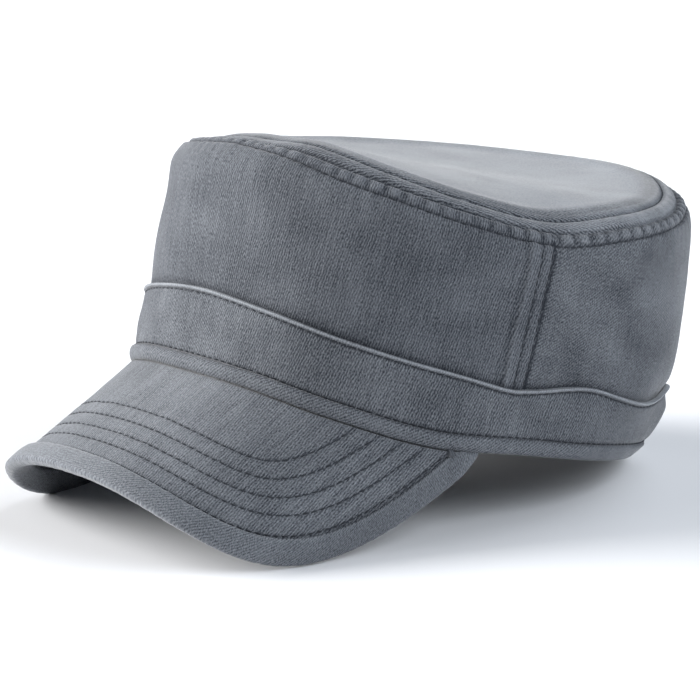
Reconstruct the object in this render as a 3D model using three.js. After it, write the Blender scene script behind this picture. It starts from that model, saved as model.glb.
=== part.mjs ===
// Patrol cap in washed cotton twill, resting on the two corners of its peak and the back of its hem.
// Millimetres, +Z up. The cap faces -Y, and the wearer's left side is +X.
import * as THREE from "three";

// Cloth thicknesses and the clearance between sewn pieces
const WALL_CLOTH = 1.6;
const BAND_CLOTH = 1.6;
const HEM_CLOTH = 1.4;
const PEAK_BOARD = 2.4;
const BINDING_CLOTH = 1.1;
const SEAM_GAP = 0.3;

// Oval of the hem, outside, and how square the oval is
const HEM_LENGTH = 200;
const HEM_WIDTH = 164.6;
const HEM_SQUARENESS = 2.36;
const HEM_HEIGHT = 6;
const HEM_CORNER = 0.7;

// Oval of the crown at its widest, just under the rim
const CROWN_LENGTH = 195.8;
const CROWN_WIDTH = 180;
const CROWN_SQUARENESS = 2.08;
const CROWN_FORWARD = 4.6;
const CROWN_HEIGHT = 86;

// The wall curves in to the rim, and the top panel climbs on from there
const SHOULDER_HEIGHT = 11;
const SHOULDER_TUCK = 4.9;
const SEAM_LEAN = 50;
const MARGIN_WIDTH = 5.9;
const MARGIN_RISE = 3;
const TOP_PUFF = 1.2;
const TOP_SAG = 2.5;
const TOP_EDGE_POWER = 8;

// The band stands this high above the oval's plane, and laps over the foot of the crown wall
const BAND_HEIGHT = 24.3;
const LAP_HEIGHT = 8;
const BAND_EDGE_DEPTH = 0.4;

// Side seams of the crown, in degrees from the front
const SIDE_SEAM = 80;

// Depths that the local folds are shares of
const BELLY_DEPTH = 1.6;
const FOLD_DEPTH = 2;
const FOOT_TUCK = 7;
const FOOT_HEIGHT = 16;

// The peak is a sheet bent across, drooping forward, with a squarish outline in the flat
const PEAK_REACH = 60.8;
const PEAK_END = 69;
const PEAK_LEDGE = 3.4;
const PEAK_WIDEST = 12;
const PEAK_SQUARENESS = 3.27;
const PEAK_DROOP = 38.7;
const PEAK_RISE = 4.9;
const ARCH_TURN = 69;
const ARCH_SPAN = 0.516 * HEM_WIDTH;
const ARCH_POWER = 1.43;
const ARCH_OPENING = 0.204;
const BINDING_WIDTH = 9;

// Corners of the binding's rounded nose, as a share of the way from its middle to a square one
const NOSE_CORNER = 0.8;

// How far the resting cloth is pressed flat
const PRESS = 0.8;

// Heights round the cap. around: degrees from the front. rimLeft and rimRight: shares of CROWN_HEIGHT.
// ridge and hem: shares of BAND_HEIGHT. belly: share of BELLY_DEPTH. foot: share of FOOT_TUCK, inwards.
const STATIONS = [
  { around: 0, rimLeft: 0.99, rimRight: 0.99, ridge: 1.395, hem: 0.2, belly: 0.5, foot: -0.3 },
  { around: 20, rimLeft: 1.002, rimRight: 0.968, ridge: 1.3, hem: 0.16, belly: 0.85, foot: -0.3 },
  { around: 40, rimLeft: 0.951, rimRight: 0.951, ridge: 1.095, hem: -0.02, belly: 0.85, foot: -0.3 },
  { around: 60, rimLeft: 0.897, rimRight: 0.965, ridge: 0.93, hem: -0.175, belly: 0.5, foot: -0.15 },
  { around: 80, rimLeft: 0.877, rimRight: 1.01, ridge: 0.877, hem: -0.12, belly: 0.3, foot: 0 },
  { around: 100, rimLeft: 0.951, rimRight: 1.06, ridge: 0.885, hem: -0.09, belly: 0.8, foot: 0.1 },
  { around: 120, rimLeft: 1.026, rimRight: 1.105, ridge: 0.918, hem: -0.066, belly: 1.5, foot: 0.7 },
  { around: 140, rimLeft: 1.098, rimRight: 1.14, ridge: 0.967, hem: -0.066, belly: 1.8, foot: 1.25 },
  { around: 160, rimLeft: 1.151, rimRight: 1.163, ridge: 1.03, hem: -0.075, belly: 1.6, foot: 1.25 },
  { around: 180, rimLeft: 1.174, rimRight: 1.174, ridge: 1.066, hem: -0.08, belly: 1.4, foot: 1.2 },
];

// Waves in the band's upper edge. around and wide: degrees. lift: share of BAND_HEIGHT.
const RIDGE_WAVES = [
  { around: 75, wide: 9, lift: -0.07 },
  { around: 95, wide: 9, lift: 0.1 },
  { around: 117, wide: 9, lift: -0.07 },
  { around: 144, wide: 12, lift: 0.09 },
  { around: -98, wide: 14, lift: 0.05 },
  { around: -124, wide: 14, lift: -0.04 },
];

// Soft dents and swells of the wall and band. around and wide: degrees.
// up and tall: shares of CROWN_HEIGHT. push: share of FOLD_DEPTH, outwards.
const FOLDS = [
  { around: 66, up: 0.52, wide: 12, tall: 0.22, push: -0.35 },
  { around: 84, up: 0.16, wide: 8, tall: 0.1, push: -0.5 },
  { around: 97, up: 0.1, wide: 9, tall: 0.12, push: 0.5 },
  { around: 112, up: 0.5, wide: 13, tall: 0.25, push: 0.6 },
  { around: 128, up: 0.24, wide: 10, tall: 0.12, push: -0.7 },
  { around: 141, up: 0.13, wide: 6, tall: 0.14, push: 0.6 },
  { around: 165, up: 0.55, wide: 20, tall: 0.3, push: -0.6 },
  { around: -125, up: 0.5, wide: 18, tall: 0.25, push: -0.6 },
  { around: -92, up: 0.4, wide: 14, tall: 0.2, push: 0.4 },
  { around: -22, up: 0.62, wide: 22, tall: 0.25, push: 0.3 },
];

// Rows that the crown wall and the band share, as shares of the way from the wall's foot to the ridge
const LAP_ROWS = [0, 0.7, 1];

// Rows of the crown wall above the ridge, as shares of the way from the ridge to the shoulder
const WALL_ROWS = [0.22, 0.46, 0.72, 1];

// Rows of the shoulder. drop: share of SHOULDER_HEIGHT. tuck: share of SHOULDER_TUCK.
const SHOULDER_ROWS = [
  { drop: 0.68, tuck: 0.08 },
  { drop: 0.43, tuck: 0.28 },
  { drop: 0.2, tuck: 0.62 },
  { drop: 0, tuck: 1 },
];

// Rows of the top panel's margin. run: share of MARGIN_WIDTH. rise: share of MARGIN_RISE.
const MARGIN_ROWS = [
  { run: 0, rise: 0 },
  { run: 0.45, rise: 0.6 },
  { run: 1, rise: 1 },
];

// Rings of the top panel inside the crest, as shares of the crest's oval
const TOP_RINGS = [0.94, 0.86, 0.72, 0.5, 0.26, 0.08];

// Rows of the band under the lap, as shares of the way from its foot to the wall's foot
const BAND_ROWS = [0, 0.24, 0.62];

// Facets
const AROUND_STEP = 5;
const PEAK_COLUMNS = 40;
const PEAK_FIELD_ROWS = 4;
const CURVE_SAMPLES = 160;
const ARCH_STEPS = 16;
const HALVINGS = 40;
const NEARBY = 0.01;
const NEARBY_DEGREES = 1;
const MOST_BOUND = 0.7;
const ALMOST = 1 - 1e-9;

const UP = new THREE.Vector3(0, 0, 1);

// Smooth curve through one column of a table, level at both ends
function tableCurve(table, key, column) {
  const places = table.map((row) => row[key]);
  const values = table.map((row) => row[column]);
  const curve = new THREE.CubicInterpolant(places, values, 1);
  curve.settings = { endingStart: THREE.ZeroSlopeEnding, endingEnd: THREE.ZeroSlopeEnding };
  return (place) => curve.evaluate(place)[0];
}

const rimLeftShare = tableCurve(STATIONS, "around", "rimLeft");
const rimRightShare = tableCurve(STATIONS, "around", "rimRight");
const ridgeShare = tableCurve(STATIONS, "around", "ridge");
const hemShare = tableCurve(STATIONS, "around", "hem");
const bellyShare = tableCurve(STATIONS, "around", "belly");
const footShare = tableCurve(STATIONS, "around", "foot");

// Degrees from the front, as a value from -180 to 180
function turned(around) {
  return THREE.MathUtils.euclideanModulo(around + 180, 360) - 180;
}

// Bell of height 1 that has died away by about three widths from its middle
function bell(distance, width) {
  return Math.exp(-((distance / width) ** 2));
}

function rimHeight(around) {
  const angle = turned(around);
  return CROWN_HEIGHT * (angle < 0 ? rimRightShare(-angle) : rimLeftShare(angle));
}

function ridgeHeight(around) {
  const waves = RIDGE_WAVES.reduce(
    (sum, wave) => sum + wave.lift * bell(turned(around - wave.around), wave.wide),
    0,
  );
  return BAND_HEIGHT * (ridgeShare(Math.abs(turned(around))) + waves);
}

function foldPush(around, height) {
  return FOLDS.reduce((sum, fold) => {
    const sideways = bell(turned(around - fold.around), fold.wide);
    const upright = bell(height / CROWN_HEIGHT - fold.up, fold.tall);
    return sum + FOLD_DEPTH * fold.push * sideways * upright;
  }, 0);
}

// Point of a squared oval at an angle from the front
function ovalPoint(around, length, width, squareness) {
  const angle = THREE.MathUtils.degToRad(around);
  const side = Math.sin(angle);
  const front = Math.cos(angle);
  const reach = (Math.abs(side) ** squareness + Math.abs(front) ** squareness) ** (-1 / squareness);
  return new THREE.Vector3((width / 2) * side * reach, (-length / 2) * front * reach, 0);
}

// Depth of the stack of cloth outside the crown wall
const STACK = HEM_CLOTH + SEAM_GAP + BAND_CLOTH + SEAM_GAP;

// Outside of the crown wall before folds: the hem's oval below blends to the crown's oval above
function wallPlan(around, height) {
  const low = ovalPoint(around, HEM_LENGTH - 2 * STACK, HEM_WIDTH - 2 * STACK, HEM_SQUARENESS);
  const high = ovalPoint(around, CROWN_LENGTH, CROWN_WIDTH, CROWN_SQUARENESS);
  high.y -= CROWN_FORWARD;
  const share = height / (rimHeight(around) - SHOULDER_HEIGHT);
  return low.lerp(high, Math.min(share, 1)).setZ(height);
}

// Level direction that points out of the wall
function wallNormal(around) {
  const ahead = ovalPoint(around + NEARBY_DEGREES, HEM_LENGTH, HEM_WIDTH, HEM_SQUARENESS);
  const behind = ovalPoint(around - NEARBY_DEGREES, HEM_LENGTH, HEM_WIDTH, HEM_SQUARENESS);
  return ahead.sub(behind).cross(UP).normalize();
}

// Point at a height and a distance out from the crown wall's outside
function wallPoint(around, height, out) {
  const swell = BELLY_DEPTH * bellyShare(Math.abs(turned(around)));
  const share = THREE.MathUtils.clamp(height / (rimHeight(around) - SHOULDER_HEIGHT), 0, 1);
  const aboveHem = Math.max(height - hemHeight(around), 0);
  const tuck = FOOT_TUCK * footShare(Math.abs(turned(around))) * bell(aboveHem, FOOT_HEIGHT);
  const push = swell * Math.sin(Math.PI * share) + foldPush(around, height) - tuck;
  return wallPlan(around, height).addScaledVector(wallNormal(around), out + push);
}

// Direction of the cut between the wall and the top panel
function seamNormal(around) {
  const lean = THREE.MathUtils.degToRad(SEAM_LEAN);
  return wallNormal(around).multiplyScalar(Math.sin(lean)).addScaledVector(UP, Math.cos(lean));
}

// Closed body between two grids of points. Each grid row is one section, outer and inner have equal counts.
function bodyBetween(outer, inner, closed) {
  const sections = outer.map((points, i) => [...points, ...inner[i].slice().reverse()]);
  const loop = sections[0].length;
  const count = sections.length;
  const half = loop / 2;
  const corners = sections.flat().flatMap((point) => point.toArray());
  const faces = [];
  const at = (i, k) => (i % count) * loop + (k % loop);
  for (let i = 0; i < (closed ? count : count - 1); i += 1) {
    for (let k = 0; k < loop; k += 1) {
      faces.push(at(i, k), at(i + 1, k), at(i + 1, k + 1));
      faces.push(at(i, k), at(i + 1, k + 1), at(i, k + 1));
    }
  }
  if (!closed) {
    const last = count - 1;
    for (let k = 0; k < half - 1; k += 1) {
      const back = loop - 1 - k;
      faces.push(at(0, k), at(0, k + 1), at(0, back - 1));
      faces.push(at(0, k), at(0, back - 1), at(0, back));
      faces.push(at(last, k), at(last, back - 1), at(last, k + 1));
      faces.push(at(last, k), at(last, back), at(last, back - 1));
    }
  }
  const geometry = new THREE.BufferGeometry();
  geometry.setAttribute("position", new THREE.Float32BufferAttribute(corners, 3));
  geometry.setIndex(faces);
  return geometry;
}

// Outer and inner grids of a sheet of cloth. normalAt may set a row's own normal.
function clothGrids(angles, rows, pointAt, thickness, normalAt = () => null) {
  const outer = angles.map((angle) => rows.map((_, row) => pointAt(angle, row)));
  const inner = angles.map((angle, i) =>
    rows.map((_, row) => {
      const along = pointAt(angle + NEARBY_DEGREES, row).sub(pointAt(angle - NEARBY_DEGREES, row));
      const next = outer[i][Math.min(row + 1, rows.length - 1)];
      const previous = outer[i][Math.max(row - 1, 0)];
      const normal = normalAt(angle, row) ?? along.cross(next.clone().sub(previous)).normalize();
      return outer[i][row].clone().addScaledVector(normal, -thickness);
    }),
  );
  return [outer, inner];
}

function steps(from, to, size) {
  const count = Math.round((to - from) / size);
  return Array.from({ length: count + 1 }, (_, i) => from + ((to - from) * i) / count);
}

const ALL_AROUND = steps(0, 360, AROUND_STEP).slice(0, -1);

// Height of a row in the lap of the band over the wall
function lapHeight(around, share) {
  return ridgeHeight(around) - LAP_HEIGHT * (1 - share);
}

// Crown wall: rows in the lap, rows up to the shoulder, then the shoulder's curve to the rim
const STRAIGHT_ROWS = LAP_ROWS.length + WALL_ROWS.length;

function crownWallPoint(around, row) {
  const rim = rimHeight(around);
  if (row < LAP_ROWS.length) return wallPoint(around, lapHeight(around, LAP_ROWS[row]), 0);
  if (row < STRAIGHT_ROWS) {
    const share = WALL_ROWS[row - LAP_ROWS.length];
    return wallPoint(around, THREE.MathUtils.lerp(ridgeHeight(around), rim - SHOULDER_HEIGHT, share), 0);
  }
  const { drop, tuck } = SHOULDER_ROWS[row - STRAIGHT_ROWS];
  const point = wallPoint(around, rim - SHOULDER_HEIGHT * drop, -SHOULDER_TUCK * tuck);
  const isRim = row === STRAIGHT_ROWS + SHOULDER_ROWS.length - 1;
  return isRim ? point.add(seamStep(around, -SEAM_GAP / 2)) : point;
}

// Step across the rim seam, up and inwards where it is positive
function seamStep(around, distance) {
  const normal = seamNormal(around);
  const across = UP.clone().addScaledVector(normal, -normal.z).normalize();
  return across.multiplyScalar(distance);
}

function crownPanel(from, to) {
  const rows = [...LAP_ROWS, ...WALL_ROWS, ...SHOULDER_ROWS];
  const inset = THREE.MathUtils.radToDeg(SEAM_GAP / HEM_WIDTH);
  const angles = steps(from, to, AROUND_STEP);
  angles[0] += inset;
  angles[angles.length - 1] -= inset;
  const rimNormal = (around, row) => (row === rows.length - 1 ? seamNormal(around) : null);
  return bodyBetween(...clothGrids(angles, rows, crownWallPoint, WALL_CLOTH, rimNormal), false);
}

// Top panel: a sloped margin up to the crest, then a soft pillow that sags a little in the middle
function marginPoint(around, row) {
  const { run, rise } = MARGIN_ROWS[row];
  const inward = -SHOULDER_TUCK - MARGIN_WIDTH * run;
  const point = wallPoint(around, rimHeight(around), inward);
  point.z += MARGIN_RISE * rise;
  return row === 0 ? point.add(seamStep(around, SEAM_GAP / 2)) : point;
}

const crestRow = MARGIN_ROWS.length - 1;
const crestHeights = ALL_AROUND.map((around) => marginPoint(around, crestRow).z);
const meanCrest = crestHeights.reduce((sum, height) => sum + height, 0) / crestHeights.length;

function topPoint(around, row) {
  if (row <= crestRow) return marginPoint(around, row);
  const share = TOP_RINGS[row - crestRow - 1];
  const crest = marginPoint(around, crestRow);
  const level = THREE.MathUtils.lerp(meanCrest, crest.z, share ** 2);
  const puff = TOP_PUFF * (1 - share ** TOP_EDGE_POWER) - TOP_SAG * (1 - share ** 2) ** 2;
  return new THREE.Vector3(crest.x * share, (crest.y + CROWN_FORWARD) * share - CROWN_FORWARD, level + puff);
}

function crownTop() {
  const rows = [...MARGIN_ROWS, ...TOP_RINGS];
  const lastRow = rows.length - 1;
  const rowNormal = (around, row) => {
    if (row === 0) return seamNormal(around);
    return row === lastRow ? UP : null;
  };
  const [outer, inner] = clothGrids(ALL_AROUND, rows, topPoint, WALL_CLOTH, rowNormal);
  return discBetween(outer, inner);
}

// Closed disc between two grids whose rows run in from an edge to a small ring, with a middle point
function discBetween(outer, inner) {
  const count = outer.length;
  const rows = outer[0].length;
  const corners = [...outer.flat(), ...inner.flat(), middleOf(outer), middleOf(inner)];
  const faces = [];
  const over = (i, k) => (i % count) * rows + k;
  const under = (i, k) => count * rows + over(i, k);
  const overMiddle = corners.length - 2;
  const underMiddle = corners.length - 1;
  for (let i = 0; i < count; i += 1) {
    for (let k = 0; k < rows - 1; k += 1) {
      faces.push(over(i, k), over(i + 1, k), over(i + 1, k + 1));
      faces.push(over(i, k), over(i + 1, k + 1), over(i, k + 1));
      faces.push(under(i, k), under(i + 1, k + 1), under(i + 1, k));
      faces.push(under(i, k), under(i, k + 1), under(i + 1, k + 1));
    }
    faces.push(over(i, rows - 1), over(i + 1, rows - 1), overMiddle);
    faces.push(under(i + 1, rows - 1), under(i, rows - 1), underMiddle);
    faces.push(under(i, 0), under(i + 1, 0), over(i + 1, 0));
    faces.push(under(i, 0), over(i + 1, 0), over(i, 0));
  }
  const geometry = new THREE.BufferGeometry();
  const values = corners.flatMap((point) => point.toArray());
  geometry.setAttribute("position", new THREE.Float32BufferAttribute(values, 3));
  geometry.setIndex(faces);
  return geometry;
}

function middleOf(grid) {
  const middle = new THREE.Vector3();
  grid.forEach((points) => middle.add(points[points.length - 1]));
  return middle.divideScalar(grid.length);
}

// Height of the hem's lower edge
function hemHeight(around) {
  return BAND_HEIGHT * hemShare(Math.abs(turned(around)));
}

// Section of the peak's arch: how far out to the side, how far down and how steep it is
function archAt(across, out) {
  const turn = THREE.MathUtils.degToRad(ARCH_TURN) * (1 + (ARCH_OPENING * out) / PEAK_REACH);
  const slopeAt = (distance) => turn * (distance / ARCH_SPAN) ** ARCH_POWER;
  const step = across / ARCH_STEPS;
  let side = 0;
  let fall = 0;
  for (let i = 0; i < ARCH_STEPS; i += 1) {
    const slope = slopeAt(step * (i + 0.5));
    side += Math.cos(slope) * step;
    fall += Math.sin(slope) * step;
  }
  return { side, fall, slope: slopeAt(across) };
}

// Peak sheet. across and out are lengths in the flat, lift is the height off the sheet's upper face.
function sheetPoint(across, out, lift) {
  const droop = THREE.MathUtils.degToRad(PEAK_DROOP);
  const arch = archAt(Math.abs(across), out);
  const side = arch.side + lift * Math.sin(arch.slope);
  const fall = arch.fall - lift * Math.cos(arch.slope);
  return new THREE.Vector3(
    Math.sign(across) * side,
    -HEM_LENGTH / 2 - out * Math.cos(droop) + fall * Math.sin(droop),
    PEAK_RISE - out * Math.sin(droop) - fall * Math.cos(droop),
  );
}

// Value at which a falling function passes nought
function falling(check, from, to) {
  let low = from;
  let high = to;
  for (let i = 0; i < HALVINGS; i += 1) {
    const middle = (low + high) / 2;
    if (check(middle) > 0) low = middle;
    else high = middle;
  }
  return (low + high) / 2;
}

// Seat of the peak under the hem on the wearer's left: its spot in the flat, and its shift off the sheet
function seatOf(around) {
  const place = wallPoint(around, hemHeight(around), STACK + SEAM_GAP).addScaledVector(UP, -SEAM_GAP);
  const droop = THREE.MathUtils.degToRad(PEAK_DROOP);
  const back = place.y + HEM_LENGTH / 2;
  const above = place.z - PEAK_RISE;
  const out = -back * Math.cos(droop) - above * Math.sin(droop);
  const fall = back * Math.sin(droop) - above * Math.cos(droop);
  const shortfall = (across) => {
    const arch = archAt(across, out);
    return (place.x - arch.side) * Math.cos(arch.slope) + (fall - arch.fall) * Math.sin(arch.slope);
  };
  const across = falling(shortfall, 0, HEM_WIDTH);
  const flat = new THREE.Vector2(across, out);
  return { flat, shift: place.sub(sheetPoint(across, out, 0)) };
}

// Flat outline of the peak at an angle from its middle. It ends just outside the seat's end.
const seatEnd = seatOf(PEAK_END).flat;
const PEAK_HALF_WIDTH = seatEnd.x + PEAK_LEDGE;
const PEAK_BACK = PEAK_WIDEST - seatEnd.y;

function outlinePoint(angle) {
  const side = Math.sin(angle);
  const front = Math.cos(angle);
  const power = PEAK_SQUARENESS;
  const reach = (Math.abs(side) ** power + Math.abs(front) ** power) ** (-1 / power);
  return new THREE.Vector2(
    PEAK_HALF_WIDTH * side * reach,
    (PEAK_REACH + PEAK_BACK) * front * reach - PEAK_BACK,
  );
}

const OUTLINE_END = falling((angle) => outlinePoint(angle).y - seatEnd.y, 0, Math.PI / 2);

// Half of a flat curve, sampled at equal steps of length. Each sample keeps what pointAt says of it.
function evenCurve(sampleAt, end) {
  const samples = Array.from({ length: CURVE_SAMPLES + 1 }, (_, i) => sampleAt((end * i) / CURVE_SAMPLES));
  const lengths = [0];
  for (let i = 1; i < samples.length; i += 1) {
    lengths.push(lengths[i - 1] + samples[i].flat.distanceTo(samples[i - 1].flat));
  }
  return (share) => {
    const target = Math.abs(share) * lengths[CURVE_SAMPLES];
    const next = Math.max(1, lengths.findIndex((length) => length >= target * ALMOST));
    const part = (target - lengths[next - 1]) / (lengths[next] - lengths[next - 1]);
    const flat = samples[next - 1].flat.clone().lerp(samples[next].flat, part);
    const shift = samples[next - 1].shift.clone().lerp(samples[next].shift, part);
    if (share < 0) {
      flat.x *= -1;
      shift.x *= -1;
    }
    return { flat, shift };
  };
}

const NO_SHIFT = new THREE.Vector3();
const outlineAt = evenCurve((angle) => ({ flat: outlinePoint(angle), shift: NO_SHIFT }), OUTLINE_END);
const seatAt = evenCurve(seatOf, PEAK_END);
const COLUMN_SHARES = steps(-1, 1, 2 / PEAK_COLUMNS);

// A column of the peak in the flat: from the outline in to the seat, with the binding's width on the way
function peakColumn(share) {
  const edge = outlineAt(share).flat;
  const seat = seatAt(share);
  const ahead = outlineAt(Math.min(share + NEARBY, 1)).flat;
  const along = ahead.sub(outlineAt(Math.max(share - NEARBY, -1)).flat).normalize();
  const run = seat.flat.clone().sub(edge);
  const length = run.length();
  const inward = run.normalize();
  const bound = Math.min(BINDING_WIDTH / Math.abs(inward.cross(along)), MOST_BOUND * length);
  return { edge, inward, length, bound, shift: seat.shift };
}

// Point of a column, eased on to the seat at its inner end
function columnPoint({ edge, inward, length, shift }, inset, lift) {
  const flat = edge.clone().addScaledVector(inward, inset);
  return sheetPoint(flat.x, flat.y, lift).addScaledVector(shift, (inset / length) ** 2);
}

function peakBoard() {
  const insets = ({ bound, length }) => [
    0,
    bound / 2,
    ...steps(0, 1, 1 / PEAK_FIELD_ROWS).map((share) => THREE.MathUtils.lerp(bound, length, share)),
  ];
  const face = (lift) =>
    COLUMN_SHARES.map((share) => {
      const column = peakColumn(share);
      return insets(column).map((inset) => columnPoint(column, inset, lift));
    });
  return bodyBetween(face(0), face(-PEAK_BOARD), false);
}

// The binding's section runs under the board, round its edge and back over it
function peakBinding() {
  const tape = SEAM_GAP + BINDING_CLOTH;
  const lowCorner = -NOSE_CORNER * PEAK_BOARD - (1 - NOSE_CORNER) * tape;
  const highCorner = (1 - NOSE_CORNER) * (tape - PEAK_BOARD);
  const outside = (bound) => [
    [bound, -PEAK_BOARD - tape],
    [bound / 2, -PEAK_BOARD - tape],
    [0, -PEAK_BOARD - tape],
    [-NOSE_CORNER * tape, lowCorner],
    [-tape, -PEAK_BOARD / 2],
    [-NOSE_CORNER * tape, highCorner],
    [0, tape],
    [bound / 2, tape],
    [bound, tape],
  ];
  const inside = (bound) => [
    [bound, -PEAK_BOARD - SEAM_GAP],
    [bound / 2, -PEAK_BOARD - SEAM_GAP],
    [0, -PEAK_BOARD - SEAM_GAP],
    [-SEAM_GAP, -PEAK_BOARD],
    [-SEAM_GAP, -PEAK_BOARD / 2],
    [-SEAM_GAP, 0],
    [0, SEAM_GAP],
    [bound / 2, SEAM_GAP],
    [bound, SEAM_GAP],
  ];
  const grid = (section) =>
    COLUMN_SHARES.map((share) => {
      const column = peakColumn(share);
      return section(column.bound).map(([inset, lift]) => columnPoint(column, inset, lift));
    });
  return bodyBetween(grid(outside), grid(inside), false);
}

// Band: outside the wall, from just above the hem's fold to its own ridge, which rolls out a little
function bandPoint(around, row) {
  const face = SEAM_GAP + BAND_CLOTH;
  if (row < BAND_ROWS.length) {
    const foot = hemHeight(around) + HEM_CLOTH + SEAM_GAP;
    return wallPoint(around, THREE.MathUtils.lerp(foot, lapHeight(around, 0), BAND_ROWS[row]), face);
  }
  const share = LAP_ROWS[row - BAND_ROWS.length];
  return wallPoint(around, lapHeight(around, share), share === 1 ? face + BAND_EDGE_DEPTH : face);
}

function band() {
  const rows = [...BAND_ROWS, ...LAP_ROWS];
  return bodyBetween(...clothGrids(ALL_AROUND, rows, bandPoint, BAND_CLOTH), true);
}

// Hem: a tape folded up round the foot of the band, inside leg first
function hem() {
  const faceOut = STACK;
  const faceIn = -SEAM_GAP - HEM_CLOTH;
  const tight = HEM_CORNER / 2;
  const outside = [
    [faceIn, HEM_HEIGHT],
    [faceIn, HEM_CORNER],
    [faceIn + HEM_CORNER, 0],
    [faceOut - HEM_CORNER, 0],
    [faceOut, HEM_CORNER],
    [faceOut, HEM_HEIGHT],
  ];
  const inside = [
    [-SEAM_GAP, HEM_HEIGHT],
    [-SEAM_GAP, HEM_CLOTH + tight],
    [tight - SEAM_GAP, HEM_CLOTH],
    [faceOut - HEM_CLOTH - tight, HEM_CLOTH],
    [faceOut - HEM_CLOTH, HEM_CLOTH + tight],
    [faceOut - HEM_CLOTH, HEM_HEIGHT],
  ];
  const grid = (section) =>
    ALL_AROUND.map((around) =>
      section.map(([out, up]) => wallPoint(around, hemHeight(around) + up, out)),
    );
  return bodyBetween(grid(outside), grid(inside), true);
}

// Cloth colours and finish
const TWILL_GREY = { color: 0x6c7178, roughness: 0.92, metalness: 0 };
const FADED_GREY = { color: 0x83888d, roughness: 0.94, metalness: 0 };
const EDGE_GREY = { color: 0x5f646b, roughness: 0.9, metalness: 0 };

function piece(name, geometry, finish) {
  const mesh = new THREE.Mesh(geometry, new THREE.MeshStandardMaterial(finish));
  mesh.name = name;
  return mesh;
}

const crown = new THREE.Group();
crown.add(piece("crown_top", crownTop(), FADED_GREY));
crown.add(piece("front_panel", crownPanel(-SIDE_SEAM, SIDE_SEAM), TWILL_GREY));
crown.add(piece("back_panel", crownPanel(SIDE_SEAM, 360 - SIDE_SEAM), TWILL_GREY));

const headband = new THREE.Group();
const hemPiece = piece("hem", hem(), EDGE_GREY);
headband.add(piece("band", band(), TWILL_GREY), hemPiece);

const visor = new THREE.Group();
const bindingPiece = piece("peak_binding", peakBinding(), EDGE_GREY);
visor.add(piece("peak", peakBoard(), TWILL_GREY), bindingPiece);

const cap = new THREE.Group();
cap.add(crown, headband, visor);

// Every corner of a mesh, as vectors
function cornersOf(mesh) {
  const places = mesh.geometry.getAttribute("position");
  return Array.from({ length: places.count }, (_, i) => new THREE.Vector3().fromBufferAttribute(places, i));
}

// Height of a point once the cap is tipped nose up
function tippedHeight(point, tip) {
  return point.z * Math.cos(tip) - point.y * Math.sin(tip);
}

function lowestOf(mesh, tip) {
  return Math.min(...cornersOf(mesh).map((point) => tippedHeight(point, tip)));
}

// At rest the peak's corners and the back of the hem stand level
const MOST_TIP = Math.PI / 4;
const REST_TIP = falling((tip) => lowestOf(hemPiece, tip) - lowestOf(bindingPiece, tip), 0, MOST_TIP);
const FLOOR = lowestOf(hemPiece, REST_TIP) + PRESS;

// Cloth below the floor is pressed up to it
const floorUp = new THREE.Vector3(0, -Math.sin(REST_TIP), Math.cos(REST_TIP));
cap.traverse((mesh) => {
  if (!mesh.isMesh) return;
  const places = mesh.geometry.getAttribute("position");
  cornersOf(mesh).forEach((point, i) => {
    const depth = FLOOR - tippedHeight(point, REST_TIP);
    if (depth > 0) places.setXYZ(i, ...point.addScaledVector(floorUp, depth).toArray());
  });
  mesh.geometry.computeVertexNormals();
});

cap.rotation.x = -REST_TIP;
cap.updateMatrixWorld(true);
const middle = new THREE.Box3().setFromObject(cap, true).getCenter(new THREE.Vector3());
cap.position.set(-middle.x, -middle.y, -FLOOR);

export default cap;
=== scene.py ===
# %% [markdown]
# A patrol cap in washed grey twill. The CAD model gives the frame: seven cloth solids that stand on the floor.
# Here each of them is laid again as fine cloth, with its seams, puckers and stitches, and gets its weave.
# Lengths are in millimetres in the cap's own upright frame, and `stand` tips them to the resting cap in metres.

import math

import bpy
import numpy as np
from mathutils import Matrix, Quaternion, Vector


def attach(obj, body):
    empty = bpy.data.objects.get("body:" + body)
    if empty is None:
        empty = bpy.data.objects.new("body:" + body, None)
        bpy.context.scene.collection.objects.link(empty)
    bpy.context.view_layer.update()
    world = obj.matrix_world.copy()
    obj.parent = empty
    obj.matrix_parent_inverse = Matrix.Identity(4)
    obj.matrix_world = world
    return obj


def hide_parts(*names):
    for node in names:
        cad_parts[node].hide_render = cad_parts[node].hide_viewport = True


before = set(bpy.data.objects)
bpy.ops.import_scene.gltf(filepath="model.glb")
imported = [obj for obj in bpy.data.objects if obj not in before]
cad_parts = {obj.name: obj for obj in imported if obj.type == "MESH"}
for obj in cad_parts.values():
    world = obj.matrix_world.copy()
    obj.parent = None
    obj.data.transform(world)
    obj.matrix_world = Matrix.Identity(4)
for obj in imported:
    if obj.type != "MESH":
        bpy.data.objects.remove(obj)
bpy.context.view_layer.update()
print("CAD nodes:", sorted(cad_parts))

# %% [markdown]
# The photograph was taken from the wearer's left front with a long lens, a little above the cap. The camera's
# place was found by matching the cap's outline. It is then turned to the middle of the picture, so that no
# lens shift is needed.

# %% Camera
AZIMUTH, ELEVATION, ROLL = math.radians(49.25), math.radians(11.87), math.radians(-0.47)
DISTANCE, AIMED_AT = 1.276, Vector((0, 0.01929, 0.0743))
SENSOR, FRAME_PIXELS, FOCAL_PIXELS = 36, 700, 3512.7
AIM_PIXEL = (401.05, 275.9)

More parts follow.
